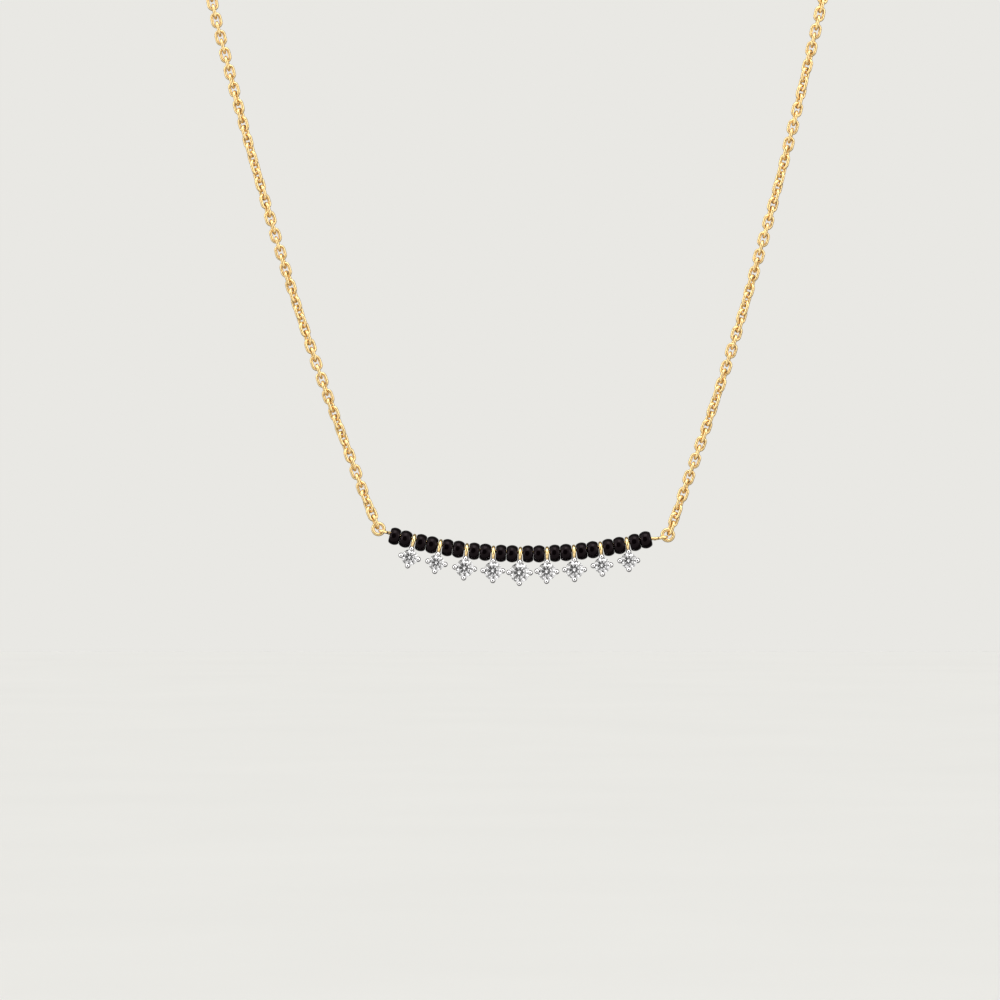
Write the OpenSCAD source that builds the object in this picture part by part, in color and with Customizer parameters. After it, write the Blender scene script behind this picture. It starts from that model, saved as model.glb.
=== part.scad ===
/* [Wearing size] */
// Height from the neck's resting line down to the lowest point of the bar wire
hang = 117; // [100:1:150]
// Width of the loop where it lies round the neck
neck_w = 100; // [90:1:120]
// Depth of the loop from the front strands to the nape
neck_d = 74; // [60:1:90]

/* [Bar wire] */
// Thickness of the bar wire
bar_wire = 0.42; // [0.36:0.01:0.5]
// Radius of the arc that the bar wire is bent to
bar_radius = 65.2; // [50:0.2:90]
// Turn of the middle of the bar away from level, in degrees
bar_lean = 0.8; // [-2:0.1:2]
// Bare wire between the bead row and the left eye
bare_left = 0.14; // [0.1:0.02:0.6]
// Bare wire between the bead row and the right eye
bare_right = 0.8; // [0.1:0.02:1.2]
// Downward turn of the wire's straight end from the arc on the left, in degrees
dip_left = 0; // [-4:1:20]
// Downward turn of the wire's straight end from the arc on the right, in degrees
dip_right = 17; // [-4:1:20]
// Downward turn of the left eye from the arc, in degrees
bend_left = 2; // [0:1:12]
// Downward turn of the right eye from the arc, in degrees
bend_right = 5; // [0:1:12]
// Diameter of the weld bead at each bend
weld_d = 0.46; // [0.44:0.01:0.5]
// Thickness of the wire's straight ends
stub_wire = 0.4; // [0.36:0.01:0.44]
// Thickness of the wire of the two soldered eyes
eye_wire = 0.38; // [0.32:0.01:0.44]
// Inner diameter of an eye
eye_hole = 0.68; // [0.66:0.01:0.8]

/* [Bead row] */
// Outer diameter of a seed bead
bead_d = 2.28; // [2:0.02:2.6]
// Length of the left bead of a pair
bead_len_left = 1.38; // [1.3:0.01:1.6]
// Length of the right bead of a pair
bead_len_right = 1.49; // [1.3:0.01:1.7]
// Radius of the swell of a bead along its length
barrel_r = 1.05; // [0.9:0.01:1.3]
// Radius of a bead's rounded outer edges
bead_edge_r = 0.28; // [0.1:0.01:0.32]
// Diameter of the hole through a bead
bead_hole = 0.95; // [0.8:0.01:1.1]
// Gap between the two beads of a pair
pair_gap = 0.02; // [0.02:0.01:0.1]

/* [Drops] */
// Thickness of the bail ring's wire
bail_wire = 0.5; // [0.3:0.01:0.54]
// Outer diameter of the bail ring
bail_d = 2.04; // [1.8:0.02:2.4]
// Free play between the bail ring and the bead on each side
bail_play = 0.05; // [0.03:0.005:0.12]
// Distance from the bar wire down to the middle of the top claw
joint_drop = 1.26; // [1.2:0.01:1.4]
// Diameter of a claw's round tip
claw_d = 0.7; // [0.6:0.01:0.74]
// Diameter of a prong
prong_d = 0.5; // [0.4:0.01:0.6]
// Distance from the stone's edge to the middle of a claw
claw_offset = 0.09; // [0.06:0.01:0.14]
// Distance that the prongs move inwards from the claws to their ends
prong_flare = 0.34; // [0.2:0.01:0.5]
// Depth of a head from the stone's edge to the end of its prongs
head_depth = 1; // [0.8:0.02:1.4]
// Thickness of the two rails that join the prongs
rail_wire = 0.3; // [0.2:0.01:0.4]
// Places of the two rails, as shares of the head's depth
rails = [0.45, 0.85]; // [0.3:0.05:0.95]

/* [Stones] */
// Diameter of the middle stone
stone_large = 2.6; // [2.4:0.01:2.8]
// Diameter of the two stones on each side of it
stone_medium = 2.38; // [2.2:0.01:2.5]
// Diameter of the two end stones on each side
stone_small = 2.1; // [1.9:0.01:2.3]
// Share of a stone's width that its table takes
table_share = 0.57; // [0.53:0.01:0.62]
// Angle of the crown, in degrees
crown_angle = 34.5; // [32:0.5:36]
// Angle of the pavilion, in degrees
pavilion_angle = 40.8; // [40:0.2:42]
// Thickness of the girdle
girdle = 0.08; // [0.04:0.01:0.12]

/* [Jump rings] */
// Outer diameter of the two front jump rings
ring_d = 1.9; // [1.8:0.02:2.2]
// Thickness of their wire
ring_wire = 0.45; // [0.36:0.01:0.48]

/* [Chain] */
// Outer length of a link
link_len = 2.12; // [2:0.01:2.4]
// Outer width of a link
link_w = 1.49; // [1.46:0.01:1.7]
// Thickness of a link's wire
link_wire = 0.41; // [0.36:0.01:0.42]
// Number of links modelled up each front strand
front_links = 64; // [40:1:70]

/* [Clasp] */
// Outer diameter of the ring clasp
clasp_d = 5.5; // [5:0.1:7]
// Thickness of the clasp's tube
clasp_tube = 1.1; // [0.9:0.05:1.4]
// Diameter of the clasp's lever knob
lever_d = 0.66; // [0.5:0.02:0.8]
// Outer diameter of the clasp's base loop
loop_d = 2.2; // [2:0.1:3]
// Outer diameter of the end ring that the clasp closes on
end_ring_d = 3.1; // [3:0.1:4]
// Thickness of the wire of the base loop and the end ring
end_wire = 0.5; // [0.4:0.05:0.6]

/* [Hidden] */
$fn = 48;
DROPS = 9;
PAIRS = DROPS + 1;
TUBE_SIDES = 8;
TUBE_RINGS = 34;
SPLINE_STEPS = 10;
HEADING_STEP = 0.2;
LEFT = -1;
RIGHT = 1;

function numbered(name, i) = str(name, "_", i + 1);
function bead_name(i) = str(i < 9 ? "bead_0" : "bead_", i + 1);

// Clearances: rings that hang in each other, links in links, stones in their seats
hook_gap = 0.03;
link_gap = 0.14;
seat_gap = 0.03;
end_gap = 0.1;

// How each drop hangs: swing of its bail away from square on the bar, turn of its head
// on the bail, both in degrees, the lower end moving left when positive
SWING = 0;
TURN = 1;
drop_hang = [[0, 0], [2, -1], [-1, 0], [-2, -1], [2, -1.5],
             [2.2, 1.8], [2.2, 2.8], [2.2, 3.8], [2.2, 8.3]];

// How the front jump rings hang, in degrees from upright: the line from each eye to its
// ring's middle, the line from there to the first link, and the first link itself
pull_left = 62;
pull_right = 64;
hook_pull = 26;
first_link_lean = 20;

// Route of the front strands from the middle of the jump ring: outwards, back, upwards
left_strand = [[1.65, 0, 4], [3.9, 0, 10], [7.55, 0, 20], [10.9, 0, 30],
               [13.95, 0, 40], [16.85, 0, 50], [19.5, 0, 60], [21.9, 0, 70]];
right_strand = [[1.5, 0, 4], [3.6, 0, 10], [7, 0, 20], [10.05, 0, 30],
                [12.85, 0, 40], [15.5, 0, 50], [17.9, 0, 60], [20.2, 0, 70]];
// Route round the neck: shares of half the width, half the depth and the hang
neck_route = [[0.835, -0.97, -0.28], [0.895, -0.85, -0.17], [0.955, -0.6, -0.08], [0.99, -0.25, -0.02],
              [0.98, 0.2, 0.03], [0.86, 0.6, 0.07], [0.56, 0.89, 0.093]];
nape_share = 0.1;
nape_lead = 12;
lever_turn = 40;

// Share of a stone's radius out to where its lower halves end
lower_share = 0.23;

// Twist of each front strand: link number, turn in degrees
left_twist = [[0, -72], [2, -45], [5, -8], [10, 45], [18, 90], [24.5, 135], [33, 180],
              [41.5, 225], [46, 240], [50, 252], [54, 266], [58, 272], [70, 290]];
right_twist = [[0, -70], [3, -30], [8, 0], [15.5, 45], [21, 90], [26.5, 135],
               [34, 180], [41.5, 225], [47, 270], [52.5, 315], [58, 360], [70, 420]];

function unit(v) = v / norm(v);
function turn_y(v, a) = [v.x * cos(a) + v.z * sin(a), v.y, v.z * cos(a) - v.x * sin(a)];
function lean(side, a) = [side * sin(a), 0, cos(a)];

// The bead row
front_y = -neck_d / 2;
pair_len = bead_len_left + pair_gap + bead_len_right;
drop_pitch = pair_len + bail_wire + 2 * bail_play;
row_half = PAIRS / 2 * drop_pitch - bail_wire / 2 - bail_play;
pair_rise = bar_radius - sqrt(bar_radius ^ 2 - (pair_len / 2) ^ 2);
bead_sag = (bead_hole - bar_wire) / 2 - hook_gap - pair_rise;
bar_centre = [bar_radius * sin(bar_lean), front_y, bar_radius - hang];

function bar_turn(along) = bar_lean - along / bar_radius * 180 / PI;
function on_bar_point(along, v) = bar_centre + turn_y(v - [0, 0, bar_radius], bar_turn(along));
function drop_along(k) = (k - (DROPS - 1) / 2) * drop_pitch;
function bead_len(i) = i % 2 == 0 ? bead_len_left : bead_len_right;
function pair_along(i) = drop_along(floor(i / 2)) - drop_pitch / 2;
function bead_offset(i) = (i % 2 == 0 ? bead_len_left - pair_len : pair_len - bead_len_right) / 2;
function bead_along(i) = pair_along(i) + bead_offset(i);

// The eyes, and the jump rings that hang in them
eye_mid_r = (eye_hole + eye_wire) / 2;
ring_mid_r = (ring_d - ring_wire) / 2;

function bare(side) = side < 0 ? bare_left : bare_right;
function stub(side) = (bare(side) + eye_wire / 2) / 2;
function end_bead(side) = bead_along(side < 0 ? 0 : 2 * PAIRS - 1);
function end_rise(side) = -side * bar_turn(end_bead(side));
function wire_rise(side) = end_rise(side) - (side < 0 ? dip_left : dip_right);
function eye_rise(side) = end_rise(side) - (side < 0 ? bend_left : bend_right);
function tail(side) = row_half - abs(end_bead(side)) + stub(side);
function weld_point(side) = on_bar_point(end_bead(side), [0, 0, 0])
    + tail(side) * lean(side, 90 - wire_rise(side));
function pull(side) = side < 0 ? pull_left : pull_right;
// Distance from the outer side of the eye's wire back to the middle of the ring's wire
function eye_reach(side) = let (
    slant = 90 - pull(side) - eye_rise(side),
    grip = ring_mid_r - (eye_wire + ring_wire) / 2 - hook_gap)
    ring_mid_r * cos(slant) - sqrt(grip ^ 2 - (ring_mid_r * sin(slant)) ^ 2);
function ring_centre(side) = weld_point(side)
    + (stub(side) + 2 * eye_mid_r - eye_reach(side)) * lean(side, 90 - eye_rise(side))
    + ring_mid_r * lean(side, pull(side));

// The heads
bail_mid_r = (bail_d - bail_wire) / 2;
bail_sag = bail_mid_r - (bail_wire + bar_wire) / 2 - hook_gap;
girdle_y = -0.6;

function stone_d(k) = let (steps = abs(k - (DROPS - 1) / 2))
    steps < 1 ? stone_large : steps < 3 ? stone_medium : stone_small;
function claw_r(k) = stone_d(k) / 2 + claw_offset;
function crown_h(r) = (1 - table_share) * r * tan(crown_angle);
function pavilion_h(r) = r * tan(pavilion_angle);

// The chain
link_mid_r = (link_w - link_wire) / 2;
link_pitch = link_len - 2 * link_wire - link_gap;
link_lift = (link_len - link_wire) / 2 - (ring_wire + link_wire) / 2 - link_gap;
nape = [0, neck_d / 2, nape_share * hang];
loop_mid_r = (loop_d - end_wire) / 2;
end_ring_mid_r = (end_ring_d - end_wire) / 2;
clasp_mid_r = (clasp_d - clasp_tube) / 2;
loop_offset = clasp_d / 2 + loop_mid_r;
end_ring_offset = clasp_mid_r - (clasp_tube + end_wire) / 2 - end_gap + end_ring_mid_r;
loop_x = -loop_offset - loop_mid_r;
end_ring_x = end_ring_offset + end_ring_mid_r;
clasp_x = -(loop_x + end_ring_x) / 2;
tip_to_wire = (end_wire + link_wire) / 2 + end_gap;

function first_link(side) = ring_centre(side) + ring_mid_r * lean(side, hook_pull)
    + link_lift * lean(side, first_link_lean);
function last_link(side) = nape
    + [clasp_x + (side < 0 ? loop_x : end_ring_x) + side * (link_len / 2 - link_wire / 2 - tip_to_wire), 0, 0];
function route(side) = concat(
    [first_link(side) - lean(side, first_link_lean), first_link(side)],
    [for (p = side < 0 ? left_strand : right_strand) ring_centre(side) + [side * p.x, p.y, p.z]],
    [for (p = neck_route) [side * p.x * neck_w / 2, p.y * neck_d / 2, p.z * hang]],
    [last_link(side), last_link(side) - [side * nape_lead, 0, 0]]);
function spline(p, i, t) = 0.5 * (2 * p[i] + (p[i + 1] - p[i - 1]) * t
    + (2 * p[i - 1] - 5 * p[i] + 4 * p[i + 1] - p[i + 2]) * t * t
    + (3 * p[i] - 3 * p[i + 1] + p[i + 2] - p[i - 1]) * t * t * t);
function smooth(p) = concat(
    [for (i = [1 : len(p) - 3]) for (j = [0 : SPLINE_STEPS - 1]) spline(p, i, j / SPLINE_STEPS)],
    [p[len(p) - 2]]);
function run(path) = let (last = len(path) - 1)
    [for (i = 0, s = 0; i <= last; s = s + norm(path[min(i + 1, last)] - path[i]), i = i + 1) s];
// A strand is its length and three tables, one for each axis, of place against length run
function strand(side) = let (path = smooth(route(side)), lengths = run(path))
    concat([lengths[len(path) - 1]],
        [for (axis = [0 : 2]) [for (i = [0 : len(path) - 1]) [lengths[i], path[i][axis]]]]);
function at(strand, s) = [for (axis = [1 : 3]) lookup(s, strand[axis])];
function heading(strand, s) = unit(at(strand, s + HEADING_STEP) - at(strand, s - HEADING_STEP));
function across(v, t) = unit(v - (v * t) * t);

strands = [strand(LEFT), strand(RIGHT)];
function strand_of(side) = strands[side < 0 ? 0 : 1];

module torus(mid_r, wire) {
    rotate_extrude() translate([mid_r, 0]) circle(d = wire);
}

module on_bar(along) {
    translate(bar_centre) rotate([0, bar_turn(along), 0]) translate([0, 0, -bar_radius]) children();
}

// Seed beads
module bead_profile(length) {
    barrel_x = bead_d / 2 - barrel_r;
    edge_y = length / 2 - bead_edge_r;
    edge_x = barrel_x + sqrt((barrel_r - bead_edge_r) ^ 2 - edge_y ^ 2);
    swell_y = edge_y * barrel_r / (barrel_r - bead_edge_r);
    difference() {
        union() {
            translate([0, -length / 2]) square([edge_x, length]);
            intersection() {
                translate([barrel_x, 0]) circle(r = barrel_r);
                translate([0, -swell_y]) square([bead_d, 2 * swell_y]);
            }
            for (end = [-1, 1]) translate([edge_x, end * edge_y]) circle(r = bead_edge_r);
        }
        translate([-bead_hole / 2, -length]) square([bead_hole, 2 * length]);
    }
}

module bead(i) {
    color("black")
    on_bar(pair_along(i)) translate([bead_offset(i), 0, -bead_sag]) rotate([0, 90, 0])
        rotate_extrude() bead_profile(bead_len(i));
}

// Bar wire: an arc that runs straight out of the end beads to a soldered eye on each side
module bar_end(side) {
    translate(weld_point(side)) mirror([side < 0 ? 1 : 0, 0, 0]) {
        sphere(d = weld_d);
        rotate([0, -90 - wire_rise(side), 0]) cylinder(d = stub_wire, h = tail(side) + stub_wire / 4);
        rotate([0, -eye_rise(side), 0]) {
            rotate([0, 90, 0]) cylinder(d = stub_wire, h = stub(side));
            translate([stub(side) + eye_mid_r, 0, 0]) torus(eye_mid_r, eye_wire);
        }
    }
}

module bar_wire() {
    first = bar_turn(end_bead(LEFT));
    last = bar_turn(end_bead(RIGHT));
    color("gold") {
        translate(bar_centre) rotate([90, 0, 0]) rotate([0, 0, -90 - first])
            rotate_extrude(angle = first - last) translate([bar_radius, 0]) circle(d = bar_wire);
        for (side = [LEFT, RIGHT]) bar_end(side);
    }
}

// Drops: a bail ring soldered to the top prong of a four-prong head
module stone_round(r, grow) {
    g = girdle / 2 + grow;
    R = r + grow;
    rotate([90, 0, 0]) rotate_extrude() polygon([
        [0, -g - pavilion_h(R)], [R, -g], [R, g], [table_share * R, g + crown_h(R)], [0, g + crown_h(R)]]);
}

module prong(r) {
    length = norm([prong_flare, head_depth]);
    tilt = atan2(prong_flare, head_depth);
    translate([0, 0, r]) sphere(d = claw_d);
    translate([0, 0, r]) rotate([-90 - tilt, 0, 0]) cylinder(d = prong_d, h = length);
}

module head(k) {
    r = claw_r(k);
    difference() {
        union() {
            for (turn = [0 : 90 : 270]) rotate([0, turn, 0]) prong(r);
            for (share = rails)
                translate([0, share * head_depth, 0]) rotate([90, 0, 0])
                    torus(r - share * prong_flare - prong_d / 2, rail_wire);
        }
        stone_round(stone_d(k) / 2, seat_gap);
    }
}

module on_head(k) {
    on_bar(drop_along(k)) rotate([0, drop_hang[k][SWING], 0])
        translate([0, 0, -joint_drop]) rotate([0, drop_hang[k][TURN], 0])
            translate([0, girdle_y, -claw_r(k)]) children();
}

module drop(k) {
    color("gainsboro") {
        on_bar(drop_along(k)) rotate([0, drop_hang[k][SWING], 0])
            translate([0, 0, -bail_sag]) rotate([0, 90, 0]) torus(bail_mid_r, bail_wire);
        on_head(k) head(k);
    }
}

// A round brilliant: table, eight stars, eight kites, sixteen upper halves, a girdle,
// sixteen lower halves and eight pavilion mains
module stone(k) {
    r = stone_d(k) / 2;
    half = 22.5;
    table_r = table_share * r;
    star_r = (table_r * cos(half) + r) / 2;
    star_z = girdle / 2 + (r - star_r * cos(half)) * tan(crown_angle);
    lower_r = lower_share * r;
    lower_z = -girdle / 2 - (r - lower_r * cos(half)) * tan(pavilion_angle);
    function ring(n, radius, z, first) = [for (i = [0 : n - 1])
        [radius * cos(first + i * 360 / n), radius * sin(first + i * 360 / n), z]];
    points = concat(
        ring(8, table_r, girdle / 2 + crown_h(r), 0),
        ring(8, star_r, star_z, half),
        ring(16, r, girdle / 2, 0),
        ring(16, r, -girdle / 2, 0),
        ring(8, lower_r, lower_z, half),
        [[0, 0, -girdle / 2 - pavilion_h(r)]]);
    TABLE = 0;
    STAR = 8;
    UPPER = 16;
    UNDER = 32;
    LOWER = 48;
    CULET = 56;
    faces = concat(
        [[for (i = [7 : -1 : 0]) TABLE + i]],
        [for (i = [0 : 7]) [TABLE + i, TABLE + (i + 1) % 8, STAR + i]],
        [for (i = [0 : 7]) [TABLE + i, STAR + i, UPPER + 2 * i, STAR + (i + 7) % 8]],
        [for (i = [0 : 7]) each [
            [STAR + i, UPPER + 2 * i + 1, UPPER + 2 * i],
            [STAR + i, UPPER + (2 * i + 2) % 16, UPPER + 2 * i + 1]]],
        [for (i = [0 : 15]) [UPPER + i, UPPER + (i + 1) % 16, UNDER + (i + 1) % 16, UNDER + i]],
        [for (i = [0 : 7]) each [
            [LOWER + i, UNDER + 2 * i, UNDER + 2 * i + 1],
            [LOWER + i, UNDER + 2 * i + 1, UNDER + (2 * i + 2) % 16]]],
        [for (i = [0 : 7]) [CULET, LOWER + (i + 7) % 8, UNDER + 2 * i, LOWER + i]]);
    color("white") on_head(k) rotate([90, 0, 0]) polyhedron(points, faces);
}

// Jump rings between the bar and the strands
module jump_ring(side) {
    color("gold") translate(ring_centre(side)) rotate([90, 0, 0]) torus(ring_mid_r, ring_wire);
}

// Cable chain
module link() {
    straight = link_len - link_w;
    for (end = [0, 1]) mirror([0, end, 0]) {
        translate([0, straight / 2, 0]) rotate_extrude(angle = 180) translate([link_mid_r, 0]) circle(d = link_wire);
        translate([end == 0 ? link_mid_r : -link_mid_r, 0, 0]) rotate([90, 0, 0])
            cylinder(d = link_wire, h = straight, center = true);
    }
}

module on_strand(side, s) {
    p = at(strand_of(side), s);
    t = heading(strand_of(side), s);
    n = across([0, -1, 0], t);
    x = cross(t, n);
    multmatrix([[x.x, t.x, n.x, p.x], [x.y, t.y, n.y, p.y], [x.z, t.z, n.z, p.z], [0, 0, 0, 1]]) children();
}

module chain(side) {
    twist = side < 0 ? left_twist : right_twist;
    color("gold")
    for (i = [0 : front_links - 1])
        on_strand(side, i * link_pitch) rotate([0, 90 * i + lookup(i, twist), 0]) link();
}

// The stretch of chain round the neck, as one plain tube on each side
module chain_back(side) {
    line = strand_of(side);
    first = (front_links - 1) * link_pitch + link_len / 2 + end_gap;
    last = line[0] + link_len / 2 - link_wire - 2 * end_gap - end_wire;
    sweep = [for (j = [0 : TUBE_RINGS - 1]) let (
        s = first + (last - first) * j / (TUBE_RINGS - 1),
        p = at(line, s) - [side * max(s - line[0], 0), 0, 0],
        t = heading(line, min(s, line[0])),
        n = across([p.x, p.y, 0], t),
        b = cross(t, n))
        for (i = [0 : TUBE_SIDES - 1]) p + link_w / 2 * (cos(i * 360 / TUBE_SIDES) * n
            + sin(i * 360 / TUBE_SIDES) * b)];
    walls = [for (j = [0 : TUBE_RINGS - 2]) for (i = [0 : TUBE_SIDES - 1]) let (
        a = j * TUBE_SIDES + i,
        b = j * TUBE_SIDES + (i + 1) % TUBE_SIDES)
        each [[a, a + TUBE_SIDES, b], [b, a + TUBE_SIDES, b + TUBE_SIDES]]];
    ends = [[for (i = [0 : TUBE_SIDES - 1]) i],
            [for (i = [TUBE_SIDES - 1 : -1 : 0]) (TUBE_RINGS - 1) * TUBE_SIDES + i]];
    color("goldenrod") polyhedron(sweep, concat(walls, ends), convexity = 8);
}

// Ring clasp with its base loop, and the end ring that it closes on
module clasp() {
    color("gold") translate(nape + [clasp_x, 0, 0]) {
        rotate([90, 0, 0]) torus(clasp_mid_r, clasp_tube);
        translate([-loop_offset, 0, 0]) rotate([90, 0, 0]) torus(loop_mid_r, end_wire);
        rotate([0, lever_turn, 0]) translate([0, 0, clasp_mid_r]) cylinder(d = lever_d, h = clasp_tube);
    }
}

module end_ring() {
    color("gold") translate(nape + [clasp_x + end_ring_offset, 0, 0]) torus(end_ring_mid_r, end_wire);
}

for (i = [0 : 2 * PAIRS - 1]) bead(i);
for (k = [0 : DROPS - 1]) drop(k);
for (k = [0 : DROPS - 1]) stone(k);
bar_wire();
jump_ring(LEFT);  // jump_ring_left
jump_ring(RIGHT);  // jump_ring_right
chain(LEFT);  // chain_left
chain(RIGHT);  // chain_right
chain_back(LEFT);  // chain_back_left
chain_back(RIGHT);  // chain_back_right
clasp();
end_ring();
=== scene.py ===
import math

import bpy
from mathutils import Matrix, Vector


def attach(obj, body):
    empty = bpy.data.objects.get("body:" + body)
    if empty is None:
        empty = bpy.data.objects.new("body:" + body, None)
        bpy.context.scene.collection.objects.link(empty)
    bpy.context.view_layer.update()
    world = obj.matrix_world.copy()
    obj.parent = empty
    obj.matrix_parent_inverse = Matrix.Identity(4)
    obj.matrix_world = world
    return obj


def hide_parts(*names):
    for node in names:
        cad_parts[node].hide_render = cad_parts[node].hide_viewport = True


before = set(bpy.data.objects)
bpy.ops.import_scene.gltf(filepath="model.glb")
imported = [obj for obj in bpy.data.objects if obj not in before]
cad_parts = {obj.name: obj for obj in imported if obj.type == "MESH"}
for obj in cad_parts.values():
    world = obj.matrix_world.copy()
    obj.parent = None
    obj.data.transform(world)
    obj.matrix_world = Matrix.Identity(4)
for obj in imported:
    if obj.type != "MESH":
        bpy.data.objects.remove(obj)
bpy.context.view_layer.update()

# Sizes of the necklace in millimetres, as built
MM = 0.001
LINK_LENGTH = 2.12
LINK_WIDTH = 1.49
LINK_WIRE = 0.41
LINK_PITCH = 1.16
FRONT_LINKS = 64
FRONT_PLANE = -37.0
BAR_CENTRE = (0.910334, -51.8)
BAR_RADIUS = 65.2
GIRDLE_PLANE = -37.6
GIRDLE = 0.08
# How far outside the bar wire's arc the plating of a drop begins, and how soft its edge is
PLATING_DROP = 0.93
PLATING_EDGE = 0.04

GOLD = "#FCE0A6"
GOLD_DEEP = "#F8D493"
RHODIUM = "#DCDBDC"

# Each strand from its first link to its last, which hooks into the clasp or its end ring
LEFT_ROUTE = [
    (-18.509, -37, -113.986), (-18.851, -37, -113.046), (-20.085, -37, -109.966), (-22.335, -37, -103.966),
    (-25.985, -37, -93.966), (-29.335, -37, -83.966), (-32.385, -37, -73.966), (-35.285, -37, -63.966),
    (-37.935, -37, -53.966), (-40.335, -37, -43.966), (-41.75, -35.89, -32.76), (-44.75, -31.45, -19.89),
    (-47.75, -22.2, -9.36), (-49.5, -9.25, -2.34), (-49, 7.4, 3.51), (-43, 22.2, 8.19),
    (-28, 32.93, 10.881), (-4.475, 37, 11.7), (7.525, 37, 11.7)]
RIGHT_ROUTE = [
    (19.251, -37, -114.787), (19.593, -37, -113.848), (20.678, -37, -110.767), (22.778, -37, -104.767),
    (26.178, -37, -94.767), (29.228, -37, -84.767), (32.028, -37, -74.767), (34.678, -37, -64.767),
    (37.078, -37, -54.767), (39.378, -37, -44.767), (41.75, -35.89, -32.76), (44.75, -31.45, -19.89),
    (47.75, -22.2, -9.36), (49.5, -9.25, -2.34), (49, 7.4, 3.51), (43, 22.2, 8.19),
    (28, 32.93, 10.881), (4.475, 37, 11.7), (-7.525, 37, 11.7)]
# Twist of each strand at its last front link, in degrees
LEFT_TWIST = 279.5
RIGHT_TWIST = 385.0


def deselect():
    bpy.ops.object.select_all(action="DESELECT")


def linear(colour):
    """An sRGB hex colour as the linear numbers that shaders take."""
    values = [int(colour[i:i + 2], 16) / 255 for i in (1, 3, 5)]
    return [v / 12.92 if v <= 0.04045 else ((v + 0.055) / 1.055) ** 2.4 for v in values] + [1]


def add(tree, kind, inputs=None, **settings):
    """Adds a node with its settings; inputs gives a socket a value or another node's output."""
    made = tree.nodes.new(kind)
    for name, value in settings.items():
        setattr(made, name, value)
    for socket, value in (inputs or {}).items():
        if isinstance(value, bpy.types.NodeSocket):
            tree.links.new(value, made.inputs[socket])
        else:
            made.inputs[socket].default_value = value
    return made


def new_material(name):
    made = bpy.data.materials.new(name)
    made.use_nodes = True
    made.node_tree.nodes.clear()
    return made, made.node_tree


def in_millimetres(tree):
    place = add(tree, "ShaderNodeTexCoord").outputs["Object"]
    scaled = add(tree, "ShaderNodeMapping", {"Vector": place, "Scale": (1 / MM, 1 / MM, 1 / MM)})
    return scaled.outputs["Vector"]


def finish_material(tree, shader):
    add(tree, "ShaderNodeOutputMaterial", {"Surface": shader.outputs["BSDF"]})


def tumbled_skin(tree, place, wave_scale, smoothest, roughest):
    """Tint, roughness and normal of gold polished in a drum: faint waves and fine hairlines."""
    waves = add(tree, "ShaderNodeTexNoise", {"Vector": place, "Scale": wave_scale, "Detail": 2.0})
    hairlines = add(tree, "ShaderNodeTexNoise", {
        "Vector": place, "Scale": 22.0, "Detail": 3.0, "Roughness": 0.65})
    tint = add(tree, "ShaderNodeMix", {
        "Factor": waves.outputs["Fac"], 6: linear(GOLD_DEEP), 7: linear(GOLD)}, data_type="RGBA")
    rough = add(tree, "ShaderNodeMapRange", {
        "Value": hairlines.outputs["Fac"], "From Min": 0.3, "From Max": 0.7,
        "To Min": smoothest, "To Max": roughest})
    relief = add(tree, "ShaderNodeBump", {
        "Height": waves.outputs["Fac"], "Strength": 0.5, "Distance": 0.00002})
    return tint.outputs[2], rough.outputs["Result"], relief.outputs["Normal"]


# Yellow gold, 18 carat, drawn wire polished in a drum: bright and warm, its highlights a
# little broken by fine hairlines and by the faint waves that tumbling leaves
def polished_gold():
    made, tree = new_material("yellow_gold_polished")
    tint, rough, normal = tumbled_skin(tree, in_millimetres(tree), 3.0, 0.3, 0.42)
    finish_material(tree, add(tree, "ShaderNodeBsdfPrincipled", {
        "Base Color": tint, "Metallic": 1.0, "Roughness": rough, "Normal": normal}))
    return made


# A drop is one casting: its bail is bare yellow gold, and the head below the solder joint is
# plated with rhodium, a cold white metal; both mirror more sharply than the tumbled wire
def plated_drop():
    made, tree = new_material("yellow_gold_with_rhodium_plated_head")
    place = in_millimetres(tree)
    from_centre = add(tree, "ShaderNodeVectorMath", {
        0: place, 1: (BAR_CENTRE[0], 0, BAR_CENTRE[1])}, operation="SUBTRACT")
    flat = add(tree, "ShaderNodeVectorMath", {
        0: from_centre.outputs["Vector"], 1: (1, 0, 1)}, operation="MULTIPLY")
    radius = add(tree, "ShaderNodeVectorMath", {0: flat.outputs["Vector"]}, operation="LENGTH")
    edge = BAR_RADIUS + PLATING_DROP
    plating = add(tree, "ShaderNodeMapRange", {
        "Value": radius.outputs["Value"], "From Min": edge - PLATING_EDGE,
        "From Max": edge + PLATING_EDGE})
    gold_tint, rough, normal = tumbled_skin(tree, place, 4.0, 0.02, 0.06)
    tint = add(tree, "ShaderNodeMix", {
        "Factor": plating.outputs["Result"], 6: gold_tint, 7: linear(RHODIUM)}, data_type="RGBA")
    finish_material(tree, add(tree, "ShaderNodeBsdfPrincipled", {
        "Base Color": tint.outputs[2], "Metallic": 1.0, "Roughness": rough, "Normal": normal}))
    return made


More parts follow.
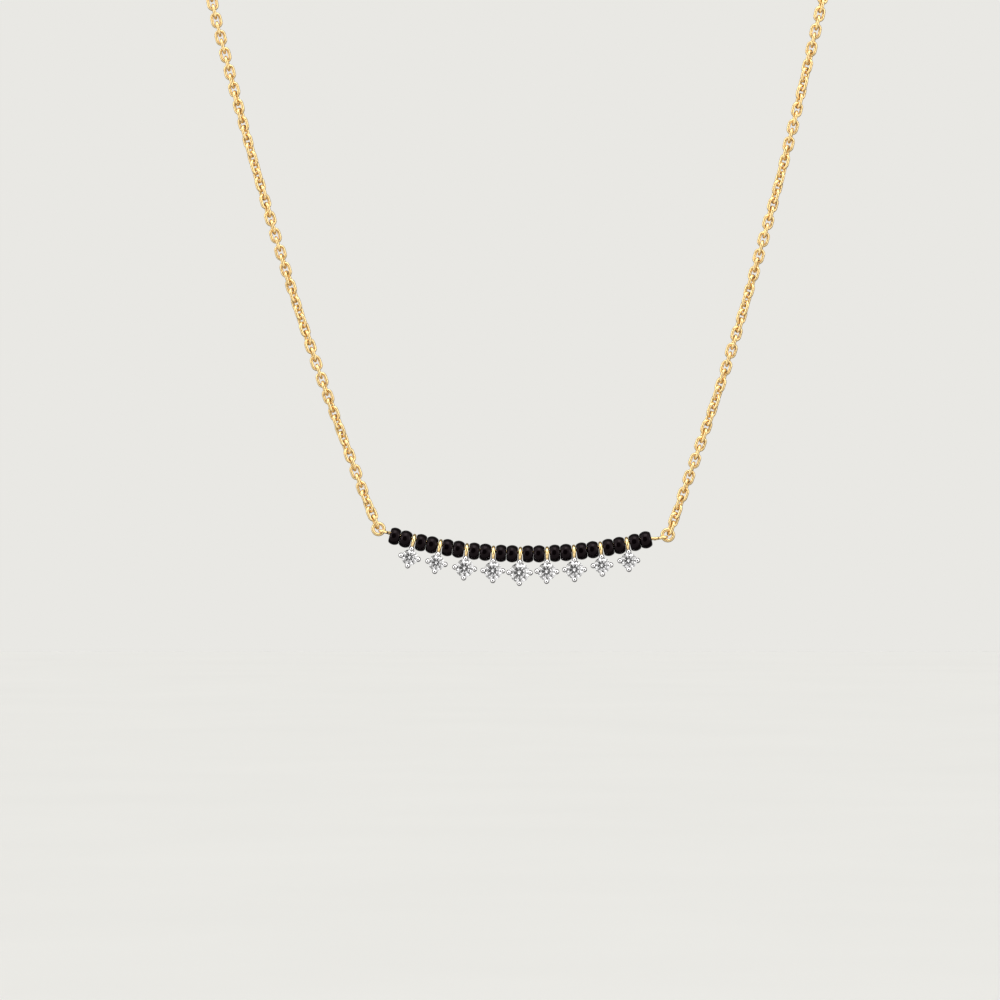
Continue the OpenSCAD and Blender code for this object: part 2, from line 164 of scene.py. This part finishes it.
# Black glass, pressed and fire-polished into seed beads: opaque and glossy, with a faint
# plum tone in its highlights and the soft ripple of a skin that has just melted
def black_glass():
    made, tree = new_material("black_glass_fire_polished")
    place = in_millimetres(tree)
    ripple = add(tree, "ShaderNodeTexNoise", {"Vector": place, "Scale": 1.6, "Detail": 2.0})
    dust = add(tree, "ShaderNodeTexNoise", {
        "Vector": place, "Scale": 14.0, "Detail": 4.0, "Roughness": 0.7})
    tint = add(tree, "ShaderNodeMix", {
        "Factor": ripple.outputs["Fac"], 6: linear("#020001"), 7: linear("#060304")},
        data_type="RGBA")
    rough = add(tree, "ShaderNodeMapRange", {
        "Value": dust.outputs["Fac"], "From Min": 0.35, "From Max": 0.75,
        "To Min": 0.05, "To Max": 0.14})
    relief = add(tree, "ShaderNodeBump", {
        "Height": ripple.outputs["Fac"], "Strength": 0.6, "Distance": 0.00005})
    finish_material(tree, add(tree, "ShaderNodeBsdfPrincipled", {
        "Base Color": tint.outputs[2], "Roughness": rough.outputs["Result"], "IOR": 1.52,
        "Specular IOR Level": 0.1, "Specular Tint": (1, 0.78, 0.86, 1),
        "Normal": relief.outputs["Normal"]}))
    return made


# Colourless brilliant: clear, hard-edged facets with a mirror polish, and a girdle that is
# left as it was ground, matt and whitish
def brilliant():
    made, tree = new_material("clear_brilliant_cut_stone")
    place = in_millimetres(tree)
    depth = add(tree, "ShaderNodeSeparateXYZ", {"Vector": place})
    off_girdle = add(tree, "ShaderNodeMath", {0: depth.outputs["Y"], 1: GIRDLE_PLANE},
                     operation="SUBTRACT")
    distance = add(tree, "ShaderNodeMath", {0: off_girdle.outputs["Value"]}, operation="ABSOLUTE")
    polish = add(tree, "ShaderNodeMapRange", {
        "Value": distance.outputs["Value"], "From Min": GIRDLE * 0.45, "From Max": GIRDLE * 0.55,
        "To Min": 0.45, "To Max": 0.0})
    finish_material(tree, add(tree, "ShaderNodeBsdfPrincipled", {
        "Base Color": linear("#FCFCFF"), "Roughness": polish.outputs["Result"], "IOR": 2.417,
        "Transmission Weight": 1.0}))
    return made


gold = polished_gold()
drop_metal = plated_drop()
glass = black_glass()
clear = brilliant()


def dress(name, material):
    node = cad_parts[name]
    node.data.materials.clear()
    node.data.materials.append(material)


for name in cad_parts:
    if name.startswith("bead_"):
        dress(name, glass)
    elif name.startswith("drop_"):
        dress(name, drop_metal)
    elif name.startswith("stone_"):
        dress(name, clear)
    else:
        dress(name, gold)


# The chain round the neck, link by link from where the front strands leave off
SPLINE_STEPS = 10
HEADING_STEP = 0.2
QUARTER_TURN = 90


def spline(points):
    path = []
    for i in range(1, len(points) - 2):
        a, b, c, d = (Vector(p) for p in points[i - 1:i + 3])
        for j in range(SPLINE_STEPS):
            t = j / SPLINE_STEPS
            path.append(0.5 * (2 * b + (c - a) * t + (2 * a - 5 * b + 4 * c - d) * t * t
                               + (3 * b - 3 * c + d - a) * t ** 3))
    path.append(Vector(points[-2]))
    return path


class Strand:
    """A route as a line that is asked for the place at a length run."""

    def __init__(self, points):
        self.path = spline(points)
        self.runs = [0.0]
        for here, there in zip(self.path, self.path[1:]):
            self.runs.append(self.runs[-1] + (there - here).length)
        self.length = self.runs[-1]

    def at(self, run):
        run = min(max(run, 0), self.length)
        last = len(self.runs) - 1
        i = next((k for k in range(1, last) if self.runs[k] >= run), last)
        share = (run - self.runs[i - 1]) / (self.runs[i] - self.runs[i - 1])
        return self.path[i - 1].lerp(self.path[i], share)

    def heading(self, run):
        return (self.at(run + HEADING_STEP) - self.at(run - HEADING_STEP)).normalized()


def across(direction, heading):
    """The direction, made square to the heading."""
    return (direction - direction.dot(heading) * heading).normalized()


LINK_SEGMENTS = 12
WIRE_SEGMENTS = 6


def model_link():
    """One oval link, its length along Y: a round ring whose two halves are drawn apart."""
    deselect()
    ring = (LINK_WIDTH - LINK_WIRE) / 2
    # Turned by half a segment, so that no corner lies on the line where the halves part
    half_segment = math.pi / LINK_SEGMENTS
    bpy.ops.mesh.primitive_torus_add(major_segments=LINK_SEGMENTS, minor_segments=WIRE_SEGMENTS,
                                     major_radius=ring * MM, minor_radius=LINK_WIRE / 2 * MM,
                                     rotation=(0, 0, half_segment))
    link = bpy.context.object
    bpy.ops.object.transform_apply(location=True, rotation=True, scale=True)
    half = (LINK_LENGTH - LINK_WIDTH) / 2 * MM
    for side in (-1, 1):
        for vertex in link.data.vertices:
            vertex.select = vertex.co.y * side > 0
        bpy.ops.object.mode_set(mode="EDIT")
        bpy.ops.mesh.select_mode(type="VERT")
        bpy.ops.transform.translate(value=(0, side * half, 0))
        bpy.ops.mesh.select_all(action="DESELECT")
        bpy.ops.object.mode_set(mode="OBJECT")
    bpy.ops.object.shade_smooth()
    link.data.materials.append(gold)
    return link


def back_chain(name, link, route, twist, last_normal, node):
    """Adds the links along the route from the last front link on, each a quarter turn from its
    neighbour, eased so that the last one stands with last_normal square to its face."""
    strand = Strand(route)
    front_end = (FRONT_LINKS - 1) * LINK_PITCH
    count = round((strand.length - front_end) / LINK_PITCH)
    pitch = (strand.length - front_end) / count
    places = []
    face = across(Vector((0, -1, 0)), strand.heading(front_end))
    for i in range(1, count + 1):
        run = front_end + i * pitch
        heading = strand.heading(run)
        face = across(face, heading)
        places.append((strand.at(run), heading, face))
    last_heading, last_face = places[-1][1:]
    last_normal = Vector(last_normal)
    wanted = math.degrees(math.atan2(last_normal.dot(last_heading.cross(last_face)),
                                     last_normal.dot(last_face)))
    first = QUARTER_TURN * (FRONT_LINKS - 1) + twist
    # A link looks the same after half a turn, so the least ease is within a quarter turn
    missing = wanted - first - QUARTER_TURN * count
    ease = (missing + QUARTER_TURN) % (2 * QUARTER_TURN) - QUARTER_TURN
    copies = []
    for i, (place, heading, face) in enumerate(places, 1):
        turn = math.radians(first + QUARTER_TURN * i + ease * i / count)
        side = heading.cross(face)
        across_link = side * math.cos(turn) - face * math.sin(turn)
        normal = side * math.sin(turn) + face * math.cos(turn)
        pose = Matrix((across_link, heading, normal)).transposed().to_4x4()
        pose.translation = place * MM
        copy = bpy.data.objects.new(name, link.data.copy())
        copy.data.transform(pose)
        bpy.context.scene.collection.objects.link(copy)
        copies.append(copy)
    deselect()
    for copy in copies:
        copy.select_set(True)
    bpy.context.view_layer.objects.active = copies[0]
    bpy.ops.object.join()
    chain = bpy.context.object
    chain.name = name
    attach(chain, "root")
    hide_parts(node)


link = model_link()
back_chain("back_chain_left", link, LEFT_ROUTE, LEFT_TWIST, (0, 0, 1), "chain_back_left")
back_chain("back_chain_right", link, RIGHT_ROUTE, RIGHT_TWIST, (0, 1, 0), "chain_back_right")
bpy.data.objects.remove(link)


# Camera: square on to the front strands, the photograph's 130 mm of height and width
VIEW_WIDTH = 0.130
VIEW_CENTRE = Vector((-0.00264, FRONT_PLANE * MM, -0.1102))
CAMERA_DISTANCE = 0.7
SENSOR_WIDTH = 36
camera_data = bpy.data.cameras.new("camera")
camera_data.sensor_width = SENSOR_WIDTH
camera_data.lens = SENSOR_WIDTH * CAMERA_DISTANCE / VIEW_WIDTH
camera_data.clip_start = 0.01
camera_data.clip_end = 10
camera = bpy.data.objects.new("camera", camera_data)
camera.location = VIEW_CENTRE - Vector((0, CAMERA_DISTANCE, 0))
camera.rotation_euler = (math.radians(90), 0, 0)
bpy.context.scene.collection.objects.link(camera)
bpy.context.scene.camera = camera

# Plain studio: a pale floor well below, a pale surround, soft panels above and at the sides.
# The floor is kept out of reflections, which would wash out the dark rims of the claws
deselect()
bpy.ops.mesh.primitive_plane_add(size=12, location=(0, 0, -0.30))
floor = bpy.context.object
floor.name = "floor"
floor_material, floor_tree = new_material("pale_studio_floor")
floor_grain = add(floor_tree, "ShaderNodeTexNoise", {"Scale": 60.0, "Detail": 3.0})
floor_tint = add(floor_tree, "ShaderNodeMix", {
    "Factor": floor_grain.outputs["Fac"], 6: linear("#E6E6E4"), 7: linear("#EBEBE9")},
    data_type="RGBA")
finish_material(floor_tree, add(floor_tree, "ShaderNodeBsdfPrincipled", {
    "Base Color": floor_tint.outputs[2], "Roughness": 0.9}))
floor.data.materials.append(floor_material)
floor.visible_glossy = False
floor.visible_transmission = False

world = bpy.data.worlds.new("studio")
bpy.context.scene.world = world
world.use_nodes = True
world.node_tree.nodes.clear()
sky = world.node_tree
turned = add(sky, "ShaderNodeVectorRotate", {
    "Vector": add(sky, "ShaderNodeTexCoord").outputs["Generated"],
    "Rotation": (math.radians(10), 0, math.radians(14))}, rotation_type="EULER_XYZ")
direction = add(sky, "ShaderNodeSeparateXYZ", {"Vector": turned.outputs["Vector"]})
# A light tent: a dark opening in front, bright walls round it that end at the sides
opening = add(sky, "ShaderNodeMapRange", {
    "Value": direction.outputs["Y"], "From Min": -0.88, "From Max": -0.78,
    "To Min": 0.08, "To Max": 1.15}, interpolation_type="SMOOTHSTEP")
tent_edge = add(sky, "ShaderNodeMapRange", {
    "Value": direction.outputs["Y"], "From Min": -0.3, "From Max": 0.1,
    "To Min": 1.0, "To Max": 0.12}, interpolation_type="SMOOTHSTEP")
tent = add(sky, "ShaderNodeMath", {
    0: opening.outputs["Result"], 1: tent_edge.outputs["Result"]}, operation="MULTIPLY")
# A grey backdrop behind, and more light from above than from below
backdrop = add(sky, "ShaderNodeMapRange", {
    "Value": direction.outputs["Y"], "From Min": 0.8, "From Max": 0.95,
    "To Min": 0.0, "To Max": 0.4}, interpolation_type="SMOOTHSTEP")
room = add(sky, "ShaderNodeMath", {
    0: tent.outputs["Value"], 1: backdrop.outputs["Result"]}, operation="ADD")
upward = add(sky, "ShaderNodeMapRange", {
    "Value": direction.outputs["Z"], "From Min": -1.0, "From Max": 0.6,
    "To Min": 0.85, "To Max": 1.78})
level = add(sky, "ShaderNodeMath", {
    0: room.outputs["Value"], 1: upward.outputs["Result"]}, operation="MULTIPLY")
# The metals and stones mirror the tent; matt surfaces and the backdrop see plain light
lit = add(sky, "ShaderNodeBackground", {"Color": linear("#F4F3F0"), "Strength": level.outputs["Value"]})
fill = add(sky, "ShaderNodeBackground", {"Color": linear("#F4F3F0"), "Strength": 1.0})
seen = add(sky, "ShaderNodeBackground", {"Color": linear("#E9E8E4"), "Strength": 1.0})
ray = add(sky, "ShaderNodeLightPath")
studio = add(sky, "ShaderNodeMixShader", {
    0: ray.outputs["Is Diffuse Ray"], 1: lit.outputs["Background"],
    2: fill.outputs["Background"]})
both = add(sky, "ShaderNodeMixShader", {
    0: ray.outputs["Is Camera Ray"], 1: studio.outputs["Shader"],
    2: seen.outputs["Background"]})
add(sky, "ShaderNodeOutputWorld", {"Surface": both.outputs["Shader"]})


def panel(name, place, target, size, power):
    light = bpy.data.lights.new(name, "AREA")
    light.shape = "RECTANGLE"
    light.size, light.size_y = size
    light.energy = power
    made = bpy.data.objects.new(name, light)
    made.location = place
    made.rotation_euler = (Vector(target) - Vector(place)).to_track_quat("-Z", "Y").to_euler()
    bpy.context.scene.collection.objects.link(made)


MIDDLE = (0, FRONT_PLANE * MM, -0.1)
panel("top_panel", (0, -0.25, 0.35), MIDDLE, (0.3, 0.3), 0.8)
panel("left_panel", (-0.45, -0.35, 0.0), MIDDLE, (0.2, 0.3), 0.45)
panel("right_panel", (0.45, -0.3, 0.0), MIDDLE, (0.2, 0.3), 0.35)

bpy.context.scene.view_settings.view_transform = "Standard"
